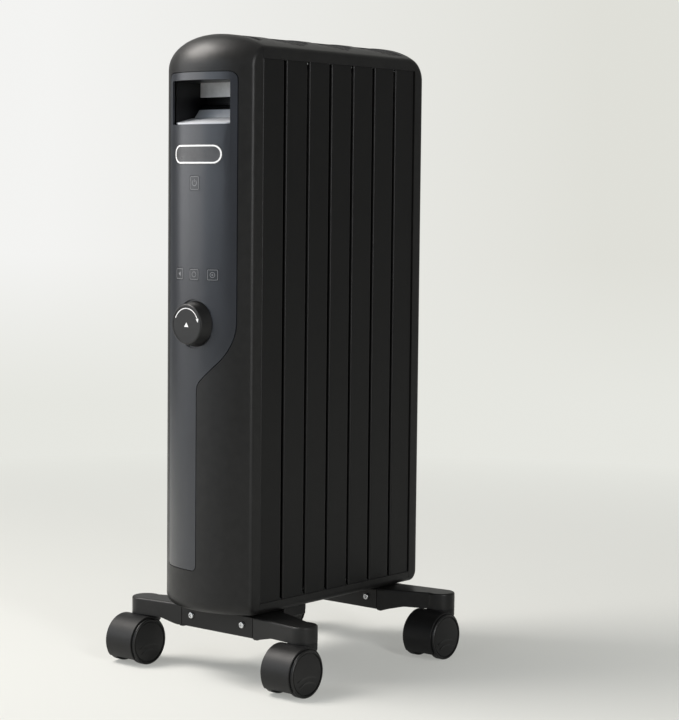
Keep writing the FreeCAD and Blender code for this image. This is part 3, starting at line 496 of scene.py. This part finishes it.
class RADIATOR_OT_wheels(bpy.types.Operator):
    """Turns the eight castor wheels, each with a grooved tread and a domed cap"""
    bl_idname = "radiator.wheels"
    bl_label = "Castor wheels"

    bore = 2.55 * MM
    hub = 6.0 * MM
    tread_start = 8.0 * MM
    tread_width = 6.2 * MM
    groove = 0.55 * MM
    # In mm, back from the cap's face and in from the tread.
    rear_edge = ((8.2, 3.6), (9.0, 3.6), (9.0, 1.0), (8.6, 0.3))
    front_edge = ((1.6, 0.0), (1.0, 0.3), (0.45, 1.2), (0.6, 2.4), (1.9, 2.5), (1.9, 3.2), (0.95, 3.4))
    dome_steps = 8
    cap_thickness = 3.0 * MM

    def profile(self, reach, width):
        """Half section as (distance out from the wheel's inner face, radius)."""
        groove = self.groove
        points = [(0.0, self.bore), (0.0, self.hub), (width - self.rear_edge[0][0] * MM, self.hub)]
        points += [(width - back * MM, reach - drop * MM) for back, drop in self.rear_edge]
        points.append((width - self.tread_start, reach))
        count = sizes_now().wheel_ridges
        for i in range(count):
            at = width - self.tread_start + (i + 1) * self.tread_width / (count + 1)
            points += [(at - groove, reach), (at - groove / 2, reach - groove),
                       (at + groove / 2, reach - groove), (at + groove, reach)]
        points += [(width - back * MM, reach - drop * MM) for back, drop in self.front_edge]
        cap = reach - CAP_INSET
        for i in range(1, self.dome_steps + 1):
            radius = cap * (1 - i / self.dome_steps)
            points.append((width - CAP_DOME * (radius / cap) ** 2, radius))
        points.append((width - self.cap_thickness, 0.0))
        return points

    def execute(self, context):
        material = wheel_plastic("castor_wheel", colours().castors)
        for label, node, low, high, outward in wheels():
            centre = middle(node)
            inner_x = low[0] if outward > 0 else high[0]
            section = self.profile((high[2] - low[2]) / 2, high[0] - low[0])
            shape = bmesh.new()
            verts = [shape.verts.new((inner_x + outward * out, centre.y, centre.z + radius))
                     for out, radius in section]
            edges = [shape.edges.new((verts[i], verts[i + 1])) for i in range(len(verts) - 1)]
            bmesh.ops.spin(shape, geom=edges + verts, cent=(inner_x, centre.y, centre.z), axis=(1, 0, 0),
                           angle=math.tau, steps=96, use_merge=True)
            bmesh.ops.holes_fill(shape, edges=[e for e in shape.edges if e.is_boundary], sides=0)
            piece = new_piece("wheel_body_" + label, shape, node, material)
            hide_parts(node)
        return {"FINISHED"}


class RADIATOR_OT_cap_ridges(bpy.types.Operator):
    """Raises two curved ridges on the domed cap of each wheel, coloured lighter than the cap as a painted
    highlight
    """
    bl_idname = "radiator.cap_ridges"
    bl_label = "Cap ridges"

    # How far each ridge lies below the axle, and half its length.
    places = ((3.0 * MM, 15.0 * MM), (8.5 * MM, 12.0 * MM))
    sag = 3.2 * MM
    height = 1.9 * MM
    taper = 0.8
    lift = 0.7 * MM
    root = 0.2 * MM

    def ridge(self, shape, centre, drop, half_length):
        """Strip across the cap that bends down at its ends, in the plane x = centre.x."""
        made = bmesh.ops.create_grid(shape, x_segments=24, y_segments=2, size=1.0)["verts"]
        for vert in made:
            along = vert.co.x
            half_height = self.height / 2 * (1 - along ** 2 * self.taper)
            z = centre.z - drop - self.sag * along ** 2 + vert.co.y * half_height
            vert.co = Vector((centre.x, centre.y + along * half_length, z))

    def execute(self, context):
        # The ridges take the castor colour lightened 2.5 times, a painted highlight that makes them read as
        # bright curved lines on each cap.
        material = satin_plastic("cap_ridge", tint(colours().castors, 2.5), roughness=0.3)
        for label, node, low, high, outward in wheels():
            centre = middle(node)
            face = high[0] if outward > 0 else low[0]
            cap = (high[2] - low[2]) / 2 - CAP_INSET
            shape = bmesh.new()
            for drop, half_length in self.places:
                self.ridge(shape, centre, drop, half_length)
            made = bmesh.ops.extrude_face_region(shape, geom=shape.faces[:])["geom"]
            raised = {v for v in made if isinstance(v, bmesh.types.BMVert)}
            for vert in shape.verts:
                share = math.hypot(vert.co.y - centre.y, vert.co.z - centre.z) / cap
                lift = self.lift * share ** 0.5 if vert in raised else -self.root
                x = face - outward * (CAP_DOME * share ** 2 - lift)
                vert.co.x = min(max(x, low[0]), high[0])
            new_piece("cap_ridges_" + label, shape, node, material)
        return {"FINISHED"}


class RADIATOR_OT_knob_marks(bpy.types.Operator):
    """Prints the dial arc with its arrowhead and the pointer on the knob"""
    bl_idname = "radiator.knob_marks"
    bl_label = "Knob marks"

    dish = 0.3 * MM
    sink = 0.04 * MM
    head_length = 4.0 * MM
    head_width = 3.6 * MM
    head_angle = 0.24
    head_lean = 0.1
    pointer_rise = 1.9 * MM
    pointer_ratio = 1.3

    def execute(self, context):
        sizes = sizes_now()
        centre = front_middle("knob")
        shape = bmesh.new()
        half = sizes.arc_half_angle
        arc_strip(shape, centre, sizes.arc_radius, sizes.arc_width, -half, half)
        angle = half + self.head_angle
        tip = centre + Vector((math.sin(angle), 0, math.cos(angle))) * sizes.arc_radius
        lean = angle - self.head_lean
        along = Vector((math.cos(lean), 0, -math.sin(lean)))
        triangle(shape, tip, along, self.head_length, self.head_width)
        pointer = centre + Vector((0, 0, self.pointer_rise))
        height = sizes.pointer_size
        triangle(shape, pointer, Vector((0, 0, 1)), height, height * self.pointer_ratio)
        raise_sheet(shape, shape.faces[:], sizes.mark_lift + self.sink)
        bmesh.ops.translate(shape, verts=shape.verts, vec=(0, self.dish + self.sink, 0))
        ink = printed_ink("white_print", colours().print)
        new_piece("knob_marks", shape, "knob", ink, smooth=False)
        return {"FINISHED"}


class RADIATOR_OT_key_marks(bpy.types.Operator):
    """Prints an outline and a plain sign on each key and on the power button"""
    bl_idname = "radiator.key_marks"
    bl_label = "Key marks"

    flange = 1.5 * MM
    margin = 0.5 * MM
    sink = 0.03 * MM
    corner = 1.6 * MM
    line = 0.55 * MM
    ring = 2.6 * MM
    dot = 0.7 * MM

    def sign(self, shape, node, centre):
        """Adds the faces of a key's sign round its centre."""
        if node == "power_button":
            arc_strip(shape, centre, 2.9 * MM, 0.6 * MM, math.radians(35), math.radians(325), steps=28)
            ring_plate(shape, centre + Vector((0, 0, 2.5 * MM)), 0.3 * MM, 1.5 * MM, 0.29 * MM, 0.28 * MM)
        elif node == "left_key":
            triangle(shape, centre + Vector((-2.4 * MM, 0, 0)), Vector((-1, 0, 0)), 4.0 * MM, 4.2 * MM)
        else:
            arc_strip(shape, centre, self.ring, self.line, 0, math.tau, steps=32)
            if node == "right_key":
                arc_strip(shape, centre, self.dot, 0.5 * MM, 0, math.tau, steps=20)

    def execute(self, context):
        sizes = sizes_now()
        ink = printed_ink("faint_print", colours().faint, thin=0.35)
        for node in BUTTONS:
            low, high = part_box(node)
            centre = front_middle(node)
            half_x = (high[0] - low[0]) / 2 - self.flange - self.margin
            half_z = (high[2] - low[2]) / 2 - self.flange - self.margin
            shape = bmesh.new()
            ring_plate(shape, centre, half_x, half_z, self.corner, sizes.frame_line)
            self.sign(shape, node, centre)
            long_edges = [e for e in shape.edges if e.calc_length() > 2 * MM]
            bmesh.ops.subdivide_edges(shape, edges=long_edges, cuts=3, use_grid_fill=True)
            raise_sheet(shape, shape.faces[:], sizes.mark_lift)
            follow_bow(shape, centre, self.sink)
            new_piece(node + "_marks", shape, node, ink, smooth=False)
        return {"FINISHED"}


class RADIATOR_OT_plate_rim(bpy.types.Operator):
    """Adds the bright rim of the blank name plate"""
    bl_idname = "radiator.plate_rim"
    bl_label = "Name plate rim"

    margin = 0.9 * MM
    thickness = 0.25 * MM
    sink = 0.08 * MM

    def execute(self, context):
        sizes = sizes_now()
        low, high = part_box("name_plate")
        centre = middle("name_plate")
        shape = bmesh.new()
        half_x = (high[0] - low[0]) / 2 - self.margin
        half_z = (high[2] - low[2]) / 2 - self.margin
        ring_plate(shape, centre, half_x, half_z, half_z - 0.1 * MM, sizes.plate_line)
        for _ in range(3):
            long_edges = [e for e in shape.edges if e.calc_length() > 4 * MM]
            bmesh.ops.subdivide_edges(shape, edges=long_edges, cuts=1, use_grid_fill=True)
        raise_sheet(shape, shape.faces[:], self.thickness)
        follow_bow(shape, centre, self.sink)
        rim = printed_ink("white_rim", colours().print, thin=0.12)
        new_piece("name_plate_rim", shape, "heater", rim, smooth=False)
        return {"FINISHED"}


class RADIATOR_OT_finishes(bpy.types.Operator):
    """Gives every sub-part that comes with the frame its finish"""
    bl_idname = "radiator.finishes"
    bl_label = "Finishes"

    def execute(self, context):
        color = colours()
        dark_satin = satin_plastic("castor_hood", color.castors, roughness=0.48, ior=1.37)
        finishes = {
            "matte_black": eroded_plastic("eroded_shell", color.body),
            "gloss_black": polished_plastic("polished_panel", color.gloss),
            # The pale second colour is the pocket floor's painted reflection.
            "pocket_black": pocket_plastic("pocket_lining", (0.005, 0.005, 0.0055), (0.58, 0.60, 0.63)),
            "plate": satin_plastic("blank_plate", (0.055, 0.055, 0.057), roughness=0.3),
            "key": polished_plastic("polished_key", tint(color.gloss, 0.6), roughness=0.3),
            "knob_black": satin_plastic("knob_cap", color.castors, roughness=0.42),
            "shaft_steel": plated_steel("turned_shaft", color.steel, direction=(1.0, 0.06, 1.0)),
            "encoder": speckled_resin("encoder_case", (0.03, 0.03, 0.03), (0.06, 0.06, 0.06)),
            "board": circuit_board("circuit_board"),
            "sheet_steel": plated_steel("galvanised_sheet", color.steel, roughness=0.42),
            "radiating": powder_coat("panel_coat", color.panels),
            "element": annealed_sheath("element_sheath", (0.42, 0.41, 0.39)),
            "cutout": speckled_resin("phenolic", (0.30, 0.20, 0.09), (0.52, 0.40, 0.22)),
            "screw": plated_steel("bright_screw", tint(color.steel, 1.1), roughness=0.26),
            "tilt": speckled_resin("ivory_case", (0.62, 0.60, 0.53), (0.74, 0.73, 0.67), roughness=0.45),
            "gland": soft_rubber("gland_rubber", (0.022, 0.022, 0.022)),
            "bar_black": powder_coat("crossbar_coat", tint(color.body, 0.9), roughness=0.4),
            "hood_black": dark_satin,
            "stem_steel": plated_steel("castor_pin", color.steel),
            "wheel_black": dark_satin,
        }
        # The grip plate's pale colour is a painted reflection: it stands in for the light that the plate
        # reflects inside the pocket.
        single = {"grip_plate": satin_plastic("grip_plate", (0.66, 0.66, 0.65), roughness=0.4, ior=1.6)}
        slots = {entry["node"]: entry["material_slot"] for entry in frame["record"]["subparts"]}
        for node, part in frame["nodes"].items():
            material = single.get(node, finishes[slots[node]])
            if not part.material_slots:
                part.data.materials.append(material)
            for slot in part.material_slots:
                slot.material = material
        return {"FINISHED"}


class RADIATOR_OT_stage(bpy.types.Operator):
    """Sets up the floor, the lights, the world and the camera"""
    bl_idname = "radiator.stage"
    bl_label = "Studio"

    # The sweep: a floor from near to back, a bend and a wall, turned to face the camera.
    turn = math.radians(39.6)
    half_width = 5.0
    near = 3.2
    back = 2.6
    bend = 0.9
    wall_height = 3.5
    paper_floor = (0.79, 0.795, 0.75)
    # The wall's glow runs from a brighter left to a darker right: painted light and shade on the backdrop.
    painted_light_wall_left = (0.90, 0.90, 0.885)
    painted_shade_wall_right = (0.74, 0.74, 0.69)
    mirrored_share = 0.4
    air_color = (0.88, 0.88, 0.86, 1.0)
    mirrored_air = 0.25

    # Name, owner of the power, share of it, place, target, width, height, colour.
    lamps = (
        ("front", "front_power", 1.0, (-2.05, -1.75, 1.0), (0, 0, 0.5), 2.3, 1.45, (0.97, 0.98, 1.0)),
        ("cool", "front_power", 0.55, (-0.62, -2.75, 1.15), (0, 0, 0.5), 1.7, 1.5, (0.80, 0.89, 1.0)),
        ("crown", "crown_power", 1.0, (-0.92, -0.76, 1.66), (0, -0.14, 0.64), 0.9, 0.9, (1.0, 0.955, 0.91)),
        ("top", "top_power", 1.0, (-1.1, -0.5, 2.2), (0, 0, 0.4), 1.5, 1.5, (1.0, 0.985, 0.96)),
        ("side", "side_power", 1.0, (1.85, -0.75, 0.95), (0, 0, 0.45), 0.22, 1.4, (1.0, 1.0, 1.0)),
    )

    def paper(self, studio):
        """Lit by the lamps near the object, and pale of itself further off for the camera and mirrors. The
        glowing wall is painted brighter at the left and darker at the right, a painted light and shade.
        """
        graph = Graph("paper_sweep")
        fibres = graph.noise(1.2 * MM, detail=3.0)
        clouds = graph.noise(0.9, detail=2.0)
        base = graph.shades(clouds * 0.85 + fibres * 0.15,
                            [(0.3, tint(studio.floor, 0.985)), (0.7, tint(studio.floor, 1.01))])
        lit = graph.node("BsdfPrincipled", {"Base Color": base, "Roughness": 0.85})
        across = graph.axis("X") * math.cos(self.turn) + graph.axis("Y") * math.sin(self.turn)
        # Painted light and shade: the wall glows brighter to the left and darker to the right.
        wall = graph.shades(across * 0.4 + 0.5, [(0.2, self.painted_light_wall_left), (0.8, self.painted_shade_wall_right)])
        rise = graph.node("Math", {0: graph.axis("Z") * 3.0, 1: 0.0}, operation="ADD", use_clamp=True)
        pale = graph.node("Emission", {"Color": graph.mix(rise, self.paper_floor, wall), "Strength": 1.0})
        far = graph.node("VectorMath", {0: graph.place}, operation="LENGTH", output="Value")
        share = graph.node("Math", {0: far * 0.4 + graph.axis("Z"), 1: 0.30}, operation="ADD", use_clamp=True)
        beside = graph.node("Math", {0: across * 0.35, 1: 1.2}, operation="ADD", use_clamp=True)
        path = graph.tree.nodes.new("ShaderNodeLightPath")
        camera, glossy, through = (Value(graph, path.outputs[f"Is {kind} Ray"])
                                   for kind in ("Camera", "Glossy", "Transmission"))
        seen = camera + (glossy + through) * beside * self.mirrored_share
        seen = graph.node("Math", {0: seen, 1: share}, operation="MULTIPLY", use_clamp=True)
        mixed = graph.node("MixShader", {0: seen, 1: lit, 2: pale})
        graph.tree.links.new(mixed.socket, graph.output.inputs["Surface"])
        return graph.material

    def backdrop(self, studio):
        """Floor that sweeps up into a wall behind the object."""
        shape = bmesh.new()
        ends = [shape.verts.new((x, -self.near, 0.0)) for x in (-self.half_width, self.half_width)]
        edge = shape.edges.new(ends)
        flat = bmesh.ops.extrude_edge_only(shape, edges=[edge])["geom"]
        verts = [g for g in flat if isinstance(g, bmesh.types.BMVert)]
        edges = [g for g in flat if isinstance(g, bmesh.types.BMEdge)]
        bmesh.ops.translate(shape, verts=verts, vec=(0, self.near + self.back, 0))
        bent = bmesh.ops.spin(shape, geom=edges + verts, cent=(0, self.back, self.bend), axis=(1, 0, 0),
                              angle=math.radians(90), steps=24)["geom_last"]
        last = [g for g in bent if isinstance(g, bmesh.types.BMEdge)]
        wall = bmesh.ops.extrude_edge_only(shape, edges=last)["geom"]
        upper = [g for g in wall if isinstance(g, bmesh.types.BMVert)]
        bmesh.ops.translate(shape, verts=upper, vec=(0, 0, self.wall_height))
        turned = Matrix.Rotation(self.turn, 3, "Z")
        bmesh.ops.rotate(shape, verts=shape.verts, cent=(0, 0, 0), matrix=turned)
        mesh = bpy.data.meshes.new("sweep")
        shape.to_mesh(mesh)
        shape.free()
        mesh.polygons.foreach_set("use_smooth", [True] * len(mesh.polygons))
        sweep = bpy.data.objects.new("sweep", mesh)
        sweep.data.materials.append(self.paper(studio))
        bpy.context.scene.collection.objects.link(sweep)

    def light(self, name, power, place, target, width, height, color):
        lamp = bpy.data.lights.new(name, "AREA")
        lamp.shape = "RECTANGLE"
        lamp.size = width
        lamp.size_y = height
        lamp.energy = power
        lamp.color = color
        source = bpy.data.objects.new(name, lamp)
        source.location = place
        source.rotation_euler = (Vector(target) - Vector(place)).to_track_quat("-Z", "Y").to_euler()
        bpy.context.scene.collection.objects.link(source)

    def world(self, studio):
        """Air that is white to the camera, dimmer in mirrors, and gives only the ambient light."""
        world = bpy.data.worlds.new("studio_air")
        world.use_nodes = True
        tree = world.node_tree
        tree.nodes.clear()
        air = tree.nodes.new("ShaderNodeBackground")
        air.inputs["Color"].default_value = self.air_color
        path = tree.nodes.new("ShaderNodeLightPath")
        total = path.outputs["Is Camera Ray"]
        for kind in ("Is Glossy Ray", "Is Transmission Ray"):
            share = tree.nodes.new("ShaderNodeMath")
            share.operation = "MULTIPLY_ADD"
            share.inputs[1].default_value = self.mirrored_air
            tree.links.new(path.outputs[kind], share.inputs[0])
            tree.links.new(total, share.inputs[2])
            total = share.outputs[0]
        bright = tree.nodes.new("ShaderNodeMath")
        bright.operation = "MAXIMUM"
        bright.inputs[1].default_value = studio.world_strength
        tree.links.new(total, bright.inputs[0])
        tree.links.new(bright.outputs[0], air.inputs["Strength"])
        end = tree.nodes.new("ShaderNodeOutputWorld")
        tree.links.new(air.outputs[0], end.inputs["Surface"])
        bpy.context.scene.world = world

    def camera(self):
        """Camera at the photograph's viewpoint."""
        lens = bpy.data.cameras.new("camera")
        lens.sensor_fit = "AUTO"
        lens.sensor_width = 36.0
        lens.lens = 101.84
        lens.clip_end = 50.0
        camera = bpy.data.objects.new("camera", lens)
        camera.location = (1.4294, -1.6519, 0.5020)
        yaw = math.radians(39.574)
        pitch = math.radians(4.632)
        roll = math.radians(-0.598)
        level = math.cos(pitch)
        ahead = Vector((-math.sin(yaw) * level, math.cos(yaw) * level, -math.sin(pitch)))
        right = Vector((math.cos(yaw), math.sin(yaw), 0.0))
        down = ahead.cross(right)
        across = right * math.cos(roll) + down * math.sin(roll)
        below = down * math.cos(roll) - right * math.sin(roll)
        turned = Matrix((across, -below, -ahead)).transposed()
        camera.rotation_euler = turned.to_euler()
        bpy.context.scene.collection.objects.link(camera)
        bpy.context.scene.camera = camera

    def execute(self, context):
        studio = context.scene.radiator_studio
        self.backdrop(studio)
        for name, owner, share, *rest in self.lamps:
            self.light(name, getattr(studio, owner) * share, *rest)
        self.world(studio)
        self.camera()
        context.scene.view_settings.view_transform = "Standard"
        return {"FINISHED"}


class RADIATOR_PT_panel(bpy.types.Panel):
    """Sizes, colours and steps of the radiator"""
    bl_idname = "RADIATOR_PT_panel"
    bl_label = "Castor radiator"
    bl_space_type = "VIEW_3D"
    bl_region_type = "UI"
    bl_category = "Radiator"

    def draw(self, context):
        for group in GROUPS:
            box = self.layout.box()
            owner = getattr(context.scene, group)
            for name in owner.__annotations__:
                box.prop(owner, name)
        for step in STEPS:
            self.layout.operator(step.bl_idname)


STEPS = (RADIATOR_OT_stage, RADIATOR_OT_finishes, RADIATOR_OT_wheels, RADIATOR_OT_cap_ridges,
         RADIATOR_OT_knob_marks, RADIATOR_OT_key_marks, RADIATOR_OT_plate_rim)
GROUPS = {"radiator_sizes": RadiatorSizes, "radiator_colours": RadiatorColours,
          "radiator_studio": RadiatorStudio}


def register():
    for item in (*GROUPS.values(), *STEPS, RADIATOR_PT_panel):
        bpy.utils.register_class(item)
    for name, group in GROUPS.items():
        setattr(bpy.types.Scene, name, bpy.props.PointerProperty(type=group))


def unregister():
    for name in GROUPS:
        delattr(bpy.types.Scene, name)
    for item in reversed((*GROUPS.values(), *STEPS, RADIATOR_PT_panel)):
        bpy.utils.unregister_class(item)


def main():
    register()
    for step in STEPS:
        group, name = step.bl_idname.split(".")
        getattr(getattr(bpy.ops, group), name)()


if __name__ == "__main__":
    main()
